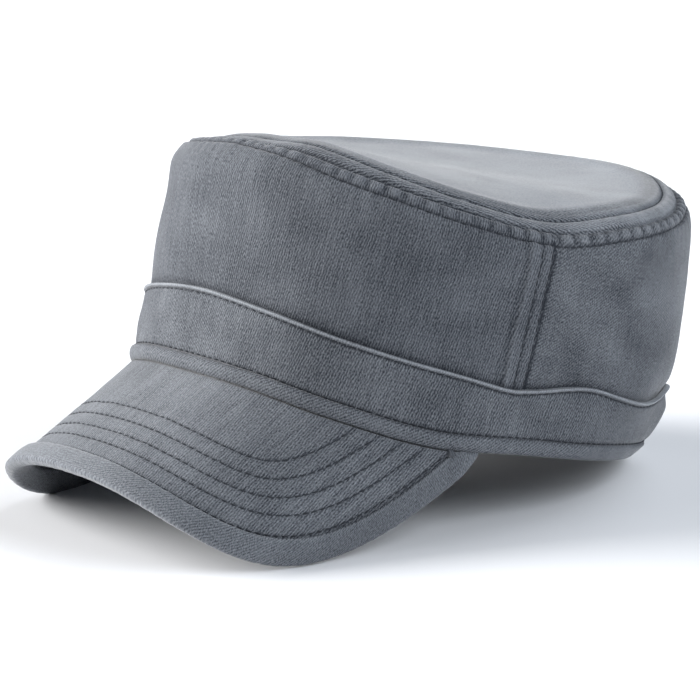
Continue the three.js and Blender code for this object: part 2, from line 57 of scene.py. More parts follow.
bpy.ops.object.camera_add()
camera = bpy.context.object
camera.name = "photo_camera"
camera.data.sensor_width = SENSOR
camera.data.lens = SENSOR * FOCAL_PIXELS / FRAME_PIXELS
camera.data.clip_start, camera.data.clip_end = 0.05, 60
level = math.cos(ELEVATION)
back = Vector((math.sin(AZIMUTH) * level, -math.cos(AZIMUTH) * level, math.sin(ELEVATION)))
camera.location = AIMED_AT + DISTANCE * back
look = (-back).to_track_quat("-Z", "Y")
off_middle = Vector((FRAME_PIXELS / 2 - AIM_PIXEL[0], AIM_PIXEL[1] - FRAME_PIXELS / 2, -FOCAL_PIXELS))
turn = Vector((0, 0, -1)).rotation_difference(off_middle.normalized())
camera.rotation_mode = "QUATERNION"
camera.rotation_quaternion = look @ turn @ Quaternion((0, 0, 1), ROLL)
bpy.context.scene.camera = camera
print("Lens", round(camera.data.lens, 1), "mm, camera at", tuple(round(c, 3) for c in camera.location))

# %% [markdown]
# The cap stands on a plain pale floor, in soft studio light. The picture's floor is blown out to white where
# nothing shades it, and a long shadow falls to the right. So the strongest of four wide, far lamps stands low
# on the left, and two weaker, bluer ones on the right fill the shadows.

# %% Floor, world and lamps
FLOOR_SIZE, FLOOR_GREY = 24, (0.86, 0.87, 0.89, 1)
SKY_BLUE, SKY_STRENGTH = (0.86, 0.91, 1, 1), 0.06
NEAR_WHITE, BLUISH = (1, 0.99, 0.98), (0.9, 0.945, 1)

bpy.ops.mesh.primitive_plane_add(size=FLOOR_SIZE)
floor = bpy.context.object
floor.name = "floor"
floor_paint = bpy.data.materials.new("pale_floor")
floor_paint.use_nodes = True
floor_shader = floor_paint.node_tree.nodes["Principled BSDF"]
floor_shader.inputs["Base Color"].default_value = FLOOR_GREY
floor_shader.inputs["Roughness"].default_value = 0.6
floor_shader.inputs["Specular IOR Level"].default_value = 0.1
floor.data.materials.append(floor_paint)

world = bpy.data.worlds.new("studio")
world.use_nodes = True
world.node_tree.nodes["Background"].inputs["Color"].default_value = SKY_BLUE
world.node_tree.nodes["Background"].inputs["Strength"].default_value = SKY_STRENGTH
bpy.context.scene.world = world
bpy.context.scene.view_settings.view_transform = "Standard"

to_right = Vector((math.cos(AZIMUTH), math.sin(AZIMUTH), 0))
to_back = Vector((-math.sin(AZIMUTH), math.cos(AZIMUTH), 0))


def lamp(name, right, behind, up, softness, strength, colour):
    """Adds a soft lamp, so far off that it lights the whole floor evenly. The camera's own directions place it."""
    place = to_right * right + to_back * behind + Vector((0, 0, up))
    bpy.ops.object.light_add(type="SUN", location=place)
    light = bpy.context.object
    light.name = name
    light.data.angle = math.radians(softness)
    light.data.energy = strength
    light.data.color = colour
    light.rotation_mode = "QUATERNION"
    light.rotation_quaternion = (-place).to_track_quat("-Z", "Y")


lamp("key_lamp", -0.94, 0.2, 0.32, 45, 7.2, NEAR_WHITE)
lamp("high_lamp", -0.7, 0, 0.7, 50, 0.6, NEAR_WHITE)
lamp("rear_lamp", 0.5, 0.5, 0.7, 50, 1.3, BLUISH)
lamp("fill_lamp", 0.8, -0.4, 0.62, 45, 2.2, BLUISH)

# %% [markdown]
# The cap's surfaces follow the same measures as its solids: the oval of the hem, the oval of the crown, and a
# short table of heights every 20 degrees from the front. A smooth curve runs through each column.

# %% Measures of the cap
REST_TIP = math.radians(14.67169)
CAP_AT = np.array([-0.0085, 19.221, 24.1162])
WALL_CLOTH, BAND_CLOTH, HEM_CLOTH, PEAK_BOARD, BINDING_CLOTH, SEAM_GAP = 1.6, 1.6, 1.4, 2.4, 1.1, 0.3
STACK = HEM_CLOTH + SEAM_GAP + BAND_CLOTH + SEAM_GAP
HEM_OVAL = (200, 164.6, 2.36)
WALL_OVAL = (HEM_OVAL[0] - 2 * STACK, HEM_OVAL[1] - 2 * STACK, HEM_OVAL[2])
CROWN_OVAL = (195.8, 180, 2.08)
CROWN_FORWARD, CROWN_HEIGHT, BAND_HEIGHT, LAP_HEIGHT, HEM_HEIGHT = 4.6, 86, 24.3, 8, 6
SHOULDER_HEIGHT, SHOULDER_TUCK, MARGIN_WIDTH, MARGIN_RISE, TOP_PUFF, TOP_SAG = 11, 4.9, 5.9, 3, 1.2, 2.5
BELLY_DEPTH, FOLD_DEPTH, FOOT_TUCK, FOOT_HEIGHT = 1.6, 2, 7, 16

STATION_STEP = 20
STATIONS = {
    "rim_left": [0.99, 1.002, 0.951, 0.897, 0.877, 0.951, 1.026, 1.098, 1.151, 1.174],
    "rim_right": [0.99, 0.968, 0.951, 0.965, 1.01, 1.06, 1.105, 1.14, 1.163, 1.174],
    "ridge": [1.395, 1.3, 1.095, 0.93, 0.877, 0.885, 0.918, 0.967, 1.03, 1.066],
    "hem": [0.2, 0.16, -0.02, -0.175, -0.12, -0.09, -0.066, -0.066, -0.075, -0.08],
    "belly": [0.5, 0.85, 0.85, 0.5, 0.3, 0.8, 1.5, 1.8, 1.6, 1.4],
    "foot": [-0.3, -0.3, -0.3, -0.15, 0, 0.1, 0.7, 1.25, 1.25, 1.2],
}

# Bumps of the band's edge: angle, spread in degrees, and lift as a share of BAND_HEIGHT.
RIDGE_WAVES = [(75, 9, -0.07), (95, 9, 0.1), (117, 9, -0.07), (144, 12, 0.09), (-98, 14, 0.05), (-124, 14, -0.04)]

# Folds of the wall: angle, height, spread in degrees, spread in height, and push. All but degrees are shares.
FOLDS = [
    (66, 0.52, 12, 0.22, -0.35),
    (84, 0.16, 8, 0.1, -0.5),
    (97, 0.1, 9, 0.12, 0.5),
    (112, 0.5, 13, 0.25, 0.6),
    (128, 0.24, 10, 0.12, -0.7),
    (141, 0.13, 6, 0.14, 0.6),
    (165, 0.55, 20, 0.3, -0.6),
    (-125, 0.5, 18, 0.25, -0.6),
    (-92, 0.4, 14, 0.2, 0.4),
    (-22, 0.62, 22, 0.25, 0.3),
    (-41, 0.74, 26, 0.16, -0.9),
    (-41, 0.17, 24, 0.09, 0.7),
    (139, 0.275, 11, 0.045, -0.9),
    (139, 0.1, 11, 0.06, 0.5),
]


def station(column, around):
    """Smooth curve through a column of the stations, level at the front and at the back."""
    values = STATIONS[column]
    knots = np.array([values[1], *values, values[-2]])
    place = np.clip(np.abs(around) / STATION_STEP, 0, len(values) - 1 - 1e-9)
    i = place.astype(int)
    t = place - i
    a, b, c, d = knots[i], knots[i + 1], knots[i + 2], knots[i + 3]
    return 0.5 * (2 * b + (c - a) * t + (2 * a - 5 * b + 4 * c - d) * t**2 + (3 * b - a - 3 * c + d) * t**3)


def bell(distance, width):
    """1 at no distance, and nearly 0 beyond twice the width."""
    return np.exp(-((distance / width) ** 2))


def ramp(value, start, end):
    """0 at the start, 1 at the end and an even slope between."""
    return np.clip((value - start) / (end - start), 0, 1)


def soft_step(value, at, width):
    """1 below a value, 0 above it and a smooth slope between."""
    return 1 / (1 + np.exp((value - at) / width))


def unit(vectors):
    """The same directions, all of length 1."""
    return vectors / np.linalg.norm(vectors, axis=-1, keepdims=True)


def run_of(points):
    """Length of a line of points up to each of them."""
    return np.concatenate([[0], np.cumsum(np.linalg.norm(np.diff(points, axis=0), axis=-1))])


def turned(around):
    """The same angle as a value from -180 to 180."""
    return (around + 180) % 360 - 180


def rim_height(around):
    return CROWN_HEIGHT * np.where(around < 0, station("rim_right", around), station("rim_left", around))


def ridge_height(around):
    waves = sum(lift * bell(turned(around - at), wide) for at, wide, lift in RIDGE_WAVES)
    return BAND_HEIGHT * (station("ridge", around) + waves)


def hem_height(around):
    return BAND_HEIGHT * station("hem", around)


def oval(around, size):
    """Point of a squared oval, at an angle in degrees from the front."""
    length, width, squareness = size
    angle = np.radians(around)
    side, front = np.sin(angle), np.cos(angle)
    reach = (np.abs(side) ** squareness + np.abs(front) ** squareness) ** (-1 / squareness)
    return np.stack([width / 2 * side * reach, -length / 2 * front * reach], -1)


def outwards(around):
    """Level direction that points out of the wall."""
    along = unit(oval(around + 1, HEM_OVAL) - oval(around - 1, HEM_OVAL))
    return np.stack([along[..., 1], -along[..., 0], np.zeros_like(along[..., 0])], -1)


def wall_place(around, height, out):
    """Point at a height and a distance out from the crown wall's outside."""
    share = height / (rim_height(around) - SHOULDER_HEIGHT)
    low = oval(around, WALL_OVAL)
    high = oval(around, CROWN_OVAL) - [0, CROWN_FORWARD]
    plan = low + (high - low) * np.minimum(share, 1)[..., None]
    belly = BELLY_DEPTH * station("belly", around) * np.sin(math.pi * np.clip(share, 0, 1))
    above = np.maximum(height - hem_height(around), 0)
    tuck = FOOT_TUCK * station("foot", around) * bell(above, FOOT_HEIGHT)
    folds = sum(
        FOLD_DEPTH * push * bell(turned(around - at), wide) * bell(height / CROWN_HEIGHT - up, tall)
        for at, up, wide, tall, push in FOLDS
    )
    place = np.concatenate([plan, height[..., None]], -1)
    return place + outwards(around) * (out + belly + folds - tuck)[..., None]


def stand(points):
    """Tips points of the upright cap to the cap at rest, in metres. Cloth under the floor is pressed up to it."""
    x, y, z = points[..., 0], points[..., 1], points[..., 2]
    c, s = math.cos(REST_TIP), math.sin(REST_TIP)
    placed = np.stack([x, y * c + z * s, z * c - y * s], -1) + CAP_AT
    placed[..., 2] = np.maximum(placed[..., 2], 0)
    return placed / 1000


tried = ridge_height(np.arange(-180, 180, 30.0))
print("Ridge runs from", round(float(tried.min()), 1), "to", round(float(tried.max()), 1))

# %% [markdown]
# Cloth is never quite even. `soft_noise` gives smooth bumps of a chosen size from seeded values, so they are the
# same in each run. It can close on itself round the cap.

# %% Smooth seeded noise
ROUND = 585.0


def run_round(around):
    """Length of cloth round the cap at an angle."""
    return around / 360 * ROUND


def soft_noise(along, up, size, seed, wide=1.0):
    """Smooth noise from -1 to 1. size is in millimetres, and wide stretches it along."""
    cells = max(3, round(ROUND / (size * wide)))
    x, y = along / ROUND * cells, up / size + 50
    i, j = np.floor(x).astype(int), np.floor(y).astype(int)
    fx, fy = x - i, y - j
    fx, fy = fx * fx * (3 - 2 * fx), fy * fy * (3 - 2 * fy)
    rows = max(int(j.max()) + 3, 4)
    values = np.random.default_rng(seed).uniform(-1, 1, (cells, rows))
    a, b = values[i % cells, j], values[(i + 1) % cells, j]
    c, d = values[i % cells, j + 1], values[(i + 1) % cells, j + 1]
    return (a * (1 - fx) + b * fx) * (1 - fy) + (c * (1 - fx) + d * fx) * fy


# %% [markdown]
# Every cloth piece starts as a flat grid, like a cut panel. Its vertices are then laid on the cap, with the
# relief of seams and puckers pushed out along the surface. The UV map keeps each point's place on the flat cloth
# in centimetres, so that the weave follows the panel. `tone` keeps where washing has paled the cloth, and also
# light and shade painted into its colour: painted highlights on some edges and lit faces, and painted shade in
# seams, grooves and stitch rows. Solidify and a small bevel give the cloth its thickness and soft edges.

# %% Laying a grid of cloth
laid = {}


def normals_of(base):
    """Directions out of a grid of points."""
    along = np.gradient(base, axis=1)
    up = np.gradient(base, axis=0)
    out = np.cross(along, up)
    return out / np.maximum(np.linalg.norm(out, axis=-1, keepdims=True), 1e-9)


def lay_cloth(name, base, relief, flat, tone, closed=False):
    """Adds a grid and lays it on the cap. base is rows by columns of points, and the rest are values for each.

    The grid's vertices run along each row in turn, as the values do.
    """
    rows, columns = base.shape[:2]
    normals = normals_of(base)
    if closed:
        normals[:, 0] = normals[:, -1] = normals[:, 0] + normals[:, -1]
        normals = unit(normals)
    places = base + normals * relief[..., None]
    if closed:
        places[:, -1] = places[:, 0]
    placed = stand(places)
    bpy.ops.mesh.primitive_grid_add(x_subdivisions=columns - 1, y_subdivisions=rows - 1, size=2)
    piece = bpy.context.object
    piece.name = name
    mesh = piece.data
    mesh.vertices.foreach_set("co", placed.ravel())
    corners = np.empty(len(mesh.loops), int)
    mesh.loops.foreach_get("vertex_index", corners)
    layer = mesh.uv_layers.active or mesh.uv_layers.new(name="UVMap")
    layer.data.foreach_set("uv", (flat.reshape(-1, 2)[corners] / 10).ravel())
    mesh.attributes.new("tone", "FLOAT", "POINT").data.foreach_set("value", tone.ravel())
    mesh.update()
    if closed:
        join_doubles(piece)
    turn_up = Matrix.Rotation(-REST_TIP, 3, "X")
    laid[name] = (placed, normals @ np.array(turn_up).T)
    return piece


def choose(piece):
    """Selects one object and no other."""
    bpy.ops.object.select_all(action="DESELECT")
    piece.select_set(True)
    bpy.context.view_layer.objects.active = piece


def join_doubles(piece):
    """Joins vertices that lie in the same place."""
    choose(piece)
    bpy.ops.object.mode_set(mode="EDIT")
    bpy.ops.mesh.select_all(action="SELECT")
    bpy.ops.mesh.remove_doubles(threshold=0.000002)
    bpy.ops.object.mode_set(mode="OBJECT")


def apply_modifier(piece, kind, **settings):
    """Adds one modifier and applies it at once."""
    modifier = piece.modifiers.new(kind.lower(), kind)
    for key, value in settings.items():
        setattr(modifier, key, value)
    bpy.ops.object.modifier_apply(modifier=modifier.name)


def finish_cloth(piece, thickness, nodes, edge=0.35):
    """Gives laid cloth its thickness and soft edges, and puts it in place of its CAD nodes."""
    choose(piece)
    if thickness:
        apply_modifier(piece, "SOLIDIFY", thickness=thickness / 1000, offset=-1)
    sharp = math.radians(55)
    apply_modifier(piece, "BEVEL", width=edge / 1000, segments=2, limit_method="ANGLE", angle_limit=sharp)
    bpy.ops.object.shade_smooth()
    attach(piece, "root")
    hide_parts(*nodes)
    print(piece.name, len(piece.data.polygons), "faces")


def rows_between(foot, top, near_top, count):
    """Distances below the top and heights for the rows of a grid. They run up from the foot, closer at the top."""
    reach = top - foot - near_top[-1]
    even = near_top[-1] + np.linspace(0, 1, count)[:, None] * reach
    below = np.concatenate([near_top[:-1, None] + 0 * reach, even])[::-1]
    return below, top - below


def groove(distance, depth, width):
    """Relief of a line of stitches that pulls the cloth in."""
    return -depth * bell(distance, width)


# %% [markdown]
# The crown wall is two panels that meet at flat-felled side seams: the front panel's folded edge lies on the
# back panel, with two rows of stitches through a lap 9 mm wide. The seam leans a little. Between the rim and a
# row of stitches below it lies a narrow strip, puckered where the washed cloth has shrunk along the thread.
#
# From here on, each `bell` is one ridge or valley of the cloth, or one pale or dark line of its tone: how
# strong it is, how far from a seam or from a row of stitches it lies, and how wide it is, in millimetres.

# %% Crown wall
STRIP = 4.4
SEAM_TOP, SEAM_FOOT, SEAM_BASE = 78.4, 79, 80.0
LAP_WIDTH, LAP_RAISED, LAP_ROWS = 9.5, 0.85, (0.9, 4.9)
FRONT_TUCK, FRONT_ROUND, FRONT_LIFT = 9.5, 10.0, 1.7
CORNER_AT, CORNER_SPREAD, CORNER_ROLL = 142, 24, 0.55


def puckers(along, seed, spacing=8.0):
    """Rounded bumps with narrow valleys, about one for each spacing."""
    count = round(ROUND / spacing)
    phase = along / ROUND * count * math.pi + 1.3 * soft_noise(along, along * 0, 21, seed)
    size = 0.75 + 0.45 * soft_noise(along, along * 0, 13, seed + 1)
    return size * (np.abs(np.sin(phase)) ** 0.8 - 0.6)


def at_front(around):
    """1 at the front, where the wall rolls over so far that its seam lies on top, and 0 at the sides and back."""
    share = ramp(around, 32, -2) * ramp(around, -105, -65)
    return share * share * (3 - 2 * share)


def front_lift(around):
    """How much higher the rim seam lies at the front than in the solids."""
    return FRONT_LIFT * at_front(around) * ramp(around, -82, -56)


def rolled_over(around):
    """How far the wall's top rolls over: wholly at the front, and a little at the left back corner."""
    return at_front(around) + CORNER_ROLL * bell(turned(around - CORNER_AT), CORNER_SPREAD)


def shoulder(around, run):
    """Drop below the rim and tuck inwards at a distance down the wall's cloth from the rim seam."""
    bend = np.minimum(run / FRONT_ROUND, math.pi / 2)
    front_drop = SHOULDER_HEIGHT * (1 - np.cos(bend)) + np.maximum(run - FRONT_ROUND * math.pi / 2, 0)
    front_tuck = FRONT_TUCK * (1 - np.sin(bend))
    side_tuck = SHOULDER_TUCK * np.clip(1 - run / SHOULDER_HEIGHT, 0, 1) ** 2.3
    roll = rolled_over(around)
    lift = front_lift(around) * np.clip(1 - run / 40, 0, 1)
    return run + (front_drop - run) * roll - lift, side_tuck + (front_tuck - side_tuck) * roll


near_rim = np.array(
    [0, 0.35, 0.7, 1.1, 1.5, 1.9, 2.3, 2.7, 3.1, 3.5, 3.8, 4.1, 4.4, 4.7, 5, 5.3, 5.7, 6.2, 6.8, 7.6, 8.6, 9.8]
)


def crown_wall(name, columns, seam_side):
    """One panel of the wall. columns are angles on the straight seam, which the real one leans away from."""
    foot = ridge_height(turned(columns)) - LAP_HEIGHT
    below, height = rows_between(foot, rim_height(turned(columns)), near_rim, 50)
    around = np.broadcast_to(columns, below.shape)
    ridge = ridge_height(turned(around))
    up_wall = np.clip((height - ridge) / (rim_height(turned(around)) - ridge), -0.2, 1)
    seam = SEAM_FOOT + (SEAM_TOP - SEAM_FOOT) * up_wall
    if seam_side == "front":
        around = around / SEAM_BASE * seam
    else:
        around = 180 + (around - 180) * (180 - seam) / (180 - SEAM_BASE)
    angle = turned(around)
    cloth_over_bend = FRONT_ROUND * math.pi / 2 - SHOULDER_HEIGHT
    stretched = below + rolled_over(angle) * cloth_over_bend * np.clip(below / below[:1], 0, 1)
    drop, tuck = shoulder(angle, stretched)
    base = wall_place(angle, rim_height(angle) - drop, -tuck)
    along = run_round(around)
    from_seam = run_round(seam - np.abs(angle))
    if seam_side == "front":
        from_fold = from_seam - LAP_WIDTH
        lap = LAP_RAISED * soft_step(from_seam, LAP_WIDTH, 0.3) + 0.4 * bell(from_fold + 1, 0.9)
        lap += sum(groove(from_seam - row, 0.5, 0.6) for row in LAP_ROWS)
        lap += 0.3 * bell(from_seam - 2.9, 1.3) * puckers(height * 2.4, 5) + 0.15 * bell(from_seam - 7, 1.3)
        # Paler on the folded edge, with painted shade beside the fold, in the seam and along the two rows of
        # stitches.
        wear_and_shade = 0.5 * bell(from_fold + 0.7, 0.7) - 0.3 * bell(from_fold - 0.9, 0.8) - 0.9 * bell(from_seam, 0.7)
        wear_and_shade -= sum(0.4 * bell(from_seam - row, 0.5) for row in LAP_ROWS)
    else:
        lap = 0.12 * bell(-from_seam - 2, 2.5) * puckers(height * 1.6, 6) - 0.25 * bell(-from_seam, 1.2)
        # Painted shade in the seam.
        wear_and_shade = -0.9 * bell(from_seam, 0.9)
    lap *= np.clip((below - STRIP + 2) / 3, 0.45, 1)
    in_strip = np.sin(math.pi * ramp(below, 0, STRIP))
    ripples = puckers(along, 11, 6.6)
    strip = in_strip * (0.45 + 1.15 * ripples) + groove(below, 0.9, 0.8)
    tail = np.exp(-np.maximum(below - STRIP, 0) / 3.2) * (below > STRIP)
    under = tail * 0.45 * puckers(along + 3, 12, 6.5) + 0.3 * bell(below - STRIP - 1.6, 1.3)
    sewn = strip + under + groove(below - STRIP, 0.5, 0.6)
    calm = ramp(below - STRIP, 0, 12) * ramp(height - ridge, -4, 6)
    soft = calm * (0.5 * soft_noise(along, height, 34, 21) + 0.22 * soft_noise(along, height, 13, 22, 0.7))
    relief = lap + sewn + soft + 0.05 * soft_noise(along, height, 3.2, 23, 0.6)
    # The puckered strip is pale on its bumps with painted shade in its valleys; painted shade also lies in the rim
    # seam, along the stitches below the strip and on the wall at the band's edge.
    wear_and_shade += 1.6 * in_strip * ripples - 0.9 * bell(below, 0.7) - 0.6 * bell(below - STRIP, 0.6)
    wear_and_shade -= 0.45 * bell(height - ridge, 1.6)
    flat = np.stack([along, height], -1)
    return lay_cloth(name, base, relief, flat, wear_and_shade)


beside_seam = np.array(
    [0, 0.1, 0.25, 0.4, 0.6, 0.8, 1.05, 1.35, 1.7, 2.1, 2.5, 2.8]
    + [3.05, 3.3, 3.6, 4, 4.5, 4.9, 5.2, 5.5, 5.8, 6.2, 6.8]
)
half_front = np.concatenate([np.linspace(0, SEAM_BASE - beside_seam[-1], 92)[:-1], SEAM_BASE - beside_seam[::-1]])
front_columns = np.concatenate([-half_front[:0:-1], half_front])
behind_seam = SEAM_BASE + beside_seam[:14]
back_columns = np.concatenate([behind_seam, np.linspace(84, 276, 240), 360 - behind_seam[::-1]])
front_panel = crown_wall("front_panel_cloth", front_columns, "front")
back_panel = crown_wall("back_panel_cloth", back_columns, "back")
finish_cloth(front_panel, WALL_CLOTH, ["front_panel"])
finish_cloth(back_panel, WALL_CLOTH, ["back_panel"])

# %% [markdown]
# The top is one oval piece, whose edge is tucked under the wall's. Its margin slopes up from the rim seam to a
# second row of stitches, a little less at the front and on the far side. Inside that the cloth swells like a
# pillow before it lies flat and sags a little in the middle. The grid's innermost row is merged to one point.

# %% Top of the crown
FRONT_SINK, FAR_SINK, NEAR_AT = 1.4, 1.1, 49
TUCKED_OUT, TUCKED_DOWN = 0.7, 1.3
ring = np.linspace(-180, 180, 481)
margin_runs = np.array([0, 0.35, 0.7, 1.1, 1.6, 2.2, 2.8, 3.4, 4, 4.5, 4.9, 5.25, 5.55, MARGIN_WIDTH])
far_in = np.array(
    [0.3, 0.65, 1, 1.5, 2.1, 2.8, 3.6, 4.6, 5.8, 7.2, 9, 11.2, 14, 17]
    + [20.5, 24.5, 29, 34, 40, 46, 53, 60, 68, 76, 83, 87]
)
inner_shares = 1 - far_in / 88


def margin_place(around, run):
    """Point of the margin at a distance in from the rim seam."""
    share = run / MARGIN_WIDTH
    tuck = SHOULDER_TUCK + (FRONT_TUCK - SHOULDER_TUCK) * rolled_over(around)
    far = ramp(np.abs(turned(around - NEAR_AT)), 65, 100) * (1 - at_front(around))
    rise = MARGIN_RISE - FRONT_SINK * at_front(around) - FAR_SINK * far
    place = wall_place(around, rim_height(around), -tuck - run)
    place[..., 2] += front_lift(around) + rise * (1 - (1 - share) ** 1.53)
    return place


margin_rows = np.stack([margin_place(ring, run) for run in margin_runs])
crest = margin_rows[-1]
mean_crest = crest[:-1, 2].mean()


def top_row(share):
    """Row inside the crest, at a share of the way out from the middle."""
    level = mean_crest + (crest[:, 2] - mean_crest) * share**2
    puff = TOP_PUFF * (1 - share**8) - TOP_SAG * (1 - share**2) ** 2
    return np.stack([crest[:, 0] * share, (crest[:, 1] + CROWN_FORWARD) * share - CROWN_FORWARD, level + puff], -1)


tucked_row = margin_rows[:1] + TUCKED_OUT * outwards(ring) - [0, 0, TUCKED_DOWN]
top_base = np.concatenate([tucked_row, margin_rows, [top_row(share) for share in inner_shares]])
top_x, top_y = top_base[..., 0], top_base[..., 1]
steps = np.linalg.norm(np.diff(top_base, axis=0), axis=-1)
inside = np.concatenate([np.zeros((1, len(ring))), np.cumsum(steps, axis=0)]) - steps[:1]
crest_row = len(margin_runs)
crest_at = inside[crest_row]
past_crest = inside - crest_at
along = np.broadcast_to(run_round(ring), inside.shape)
in_margin = np.sin(math.pi * np.clip(inside / crest_at, 0, 1))
ripples = puckers(along, 31, 9)
fades = np.clip(np.linspace(1.6, 0, len(top_base)), 0, 1)[:, None]
top_relief = in_margin * (0.3 + 0.22 * ripples) + groove(inside, 0.75, 0.8) + groove(past_crest, 0.8, 0.7)
top_relief += (past_crest > 0) * np.exp(-np.maximum(past_crest, 0) / 3) * 0.25 * puckers(along + 4, 32, 7)
top_relief += 0.3 * bell(past_crest - 2, 1.6) + 1.2 * bell(past_crest - 6.5, 4.2)
top_relief += fades * 0.06 * soft_noise(along, inside, 3.4, 33)
top_relief += 0.7 * soft_noise(top_x, top_y, 38, 34) * ramp(past_crest, 0, 14)
# Puckers pale on their bumps with painted shade in their valleys, and painted shade in the rim seam and in the
# crest's stitch groove.
top_tone = 0.3 * in_margin * ripples - 0.75 * bell(inside, 0.7) - 0.75 * bell(past_crest, 0.6)
# Painted light: the top is paler inside the crest, where it faces up to the lamps; the margin is a little paler
# too.
top_tone += 1.4 * ramp(past_crest, 2, 11) + 0.2 * (past_crest < 0)
# Painted light on the margin's far side, which faces the lamps on the left; the last term is random tone.
top_tone += 0.6 * (past_crest < 3) * bell(turned(ring - 110), 42) + 0.35 * soft_noise(top_x, top_y, 11, 35)
crown_top = lay_cloth("crown_top_cloth", top_base, top_relief, top_base[..., :2], top_tone, closed=True)

bpy.ops.object.mode_set(mode="EDIT")
bpy.ops.mesh.select_all(action="DESELECT")
bpy.ops.object.mode_set(mode="OBJECT")
innermost = laid["crown_top_cloth"][0][-1]
middle = Vector(innermost.mean(axis=0))
reach = np.linalg.norm(innermost - np.array(middle), axis=-1).max()
for vertex in crown_top.data.vertices:
    vertex.select = bool((vertex.co - middle).length < reach * 1.01)
bpy.ops.object.mode_set(mode="EDIT")
bpy.ops.mesh.select_mode(type="VERT")
bpy.ops.mesh.merge(type="CENTER")
bpy.ops.object.mode_set(mode="OBJECT")
finish_cloth(crown_top, WALL_CLOTH, ["crown_top"])

# %% [markdown]
# The band stands off the wall all round. Its upper edge is folded and sewn, so the edge rolls like a cord above
# its stitches and catches the light. The side seams' bulk shows through it as a faint step, and a soft crease
# runs up from the hem behind the seam.

# %% Band
BAND_ROW = 1.7
near_ridge = np.array([0, 0.25, 0.5, 0.8, 1.1, 1.4, BAND_ROW, 2, 2.3, 2.7, 3.3, 4.2])
ring = np.linspace(-180, 180, 541)
below, height = rows_between(hem_height(ring) + HEM_CLOTH + SEAM_GAP, ridge_height(ring), near_ridge, 30)
around = np.broadcast_to(ring, below.shape)
along = run_round(around)
band_base = wall_place(around, height, SEAM_GAP + BAND_CLOTH + 0.4 * bell(below, 1))
above_hem = height - hem_height(around) - HEM_HEIGHT
bulk_edge = run_round(SEAM_FOOT - 0.06 * above_hem - np.abs(around))
bulk = 0.45 * soft_step(bulk_edge, LAP_WIDTH, 0.8) * soft_step(-bulk_edge, -0.5, 0.5)
crease_line = above_hem - 1.35 * (around - SEAM_FOOT) + 1
crease = 0.55 * bell(crease_line, 2.4) * bell(around - 84, 6)
crease -= 0.4 * bell(crease_line - 5, 3) * bell(around - 83, 6)
calm = ramp(below, 2, 7)
band_relief = 0.3 * bell(below - 0.55, 0.6) + groove(below - BAND_ROW, 0.4, 0.45) + bulk + crease
band_relief += calm * (0.4 * soft_noise(along, height, 17, 41, 1.3) + 0.2 * soft_noise(along, height, 8, 42))
band_relief += 0.3 * bell(above_hem - 2.2, 2) + 0.12 * bell(above_hem - 1.5, 2.5) * puckers(along, 43, 7)
band_relief += 0.04 * soft_noise(along, height, 3.2, 44, 0.6)
# Painted highlight, partly wear, on the folded top edge, and painted shade along its stitches and where the band
# meets the hem.
band_tone = 1.7 * bell(below - 0.35, 0.6) - 0.4 * bell(below - 1.75, 0.5) - 0.35 * bell(above_hem, 0.9)
band = lay_cloth("band_cloth", band_base, band_relief, np.stack([along, height], -1), band_tone, closed=True)
finish_cloth(band, BAND_CLOTH, ["band"])

# %% [markdown]
# The hem is a tape folded round the foot of the band. Over the peak it is full and round like a welt, and
# behind it is flatter. At the back corners its foot rolls under. Its section is drawn once as a closed loop
# and swept round the cap.

# %% Hem
ROLLED_AT, ROLLED_SPREAD, ROLLED_UP, ROLLED_IN = 137, 15, 1.6, 2.2
face_out, face_in = STACK, -SEAM_GAP - HEM_CLOTH
lap_in = face_out - HEM_CLOTH
hem_section = np.array(
    [(face_in, HEM_HEIGHT), (face_in, 3.4), (face_in, 0.9), (face_in + 0.3, 0.3), (face_in + 0.9, 0)]
    + [(0.9, 0), (face_out - 1, 0), (face_out - 0.45, 0.15), (face_out - 0.12, 0.5), (face_out, 1)]
    + [(face_out, 1.9), (face_out, 2.9), (face_out, 3.9), (face_out - 0.03, 4.7), (face_out - 0.25, 5.3)]
    + [(face_out - 0.7, 5.75), (face_out - 1.2, 5.95), (lap_in - 0.1, 5.9), (lap_in - 0.1, 5.2), (lap_in, 3.4)]
    + [(lap_in, HEM_CLOTH + 0.4), (lap_in - 0.4, HEM_CLOTH), (0.9, HEM_CLOTH), (-SEAM_GAP + 0.4, HEM_CLOTH)]
    + [(-SEAM_GAP, HEM_CLOTH + 0.4), (-SEAM_GAP, 3.4), (-SEAM_GAP, HEM_HEIGHT), (face_in, HEM_HEIGHT)]
)
around = np.broadcast_to(ring, (len(hem_section), len(ring)))
along = run_round(around)
out, up = hem_section[:, :1], hem_section[:, 1:]
full = 0.25 + 0.5 * soft_step(np.abs(around), 74, 2)
on_face = (out > face_out - 1.3) & (up > 0.3)
swell = np.where(on_face, full * np.sin(math.pi * np.clip((up - 0.2) / 5.9, 0, 1)), 0)
join_step = np.where(on_face, 0.45 * bell(np.abs(around) - 76.5, 1.6) * (np.abs(around) < 78), 0)
wavy = np.where(on_face, 0.14 * puckers(along, 51, 9) + 0.12 * soft_noise(along, up + 0 * along, 5, 52), 0)
rolled = bell(np.abs(around) - ROLLED_AT, ROLLED_SPREAD) * np.clip(1 - up / 5, 0, 1) ** 1.5
hem_out = out + swell + join_step + wavy - ROLLED_IN * rolled
hem_base = wall_place(around, hem_height(around) + up + ROLLED_UP * rolled, hem_out)
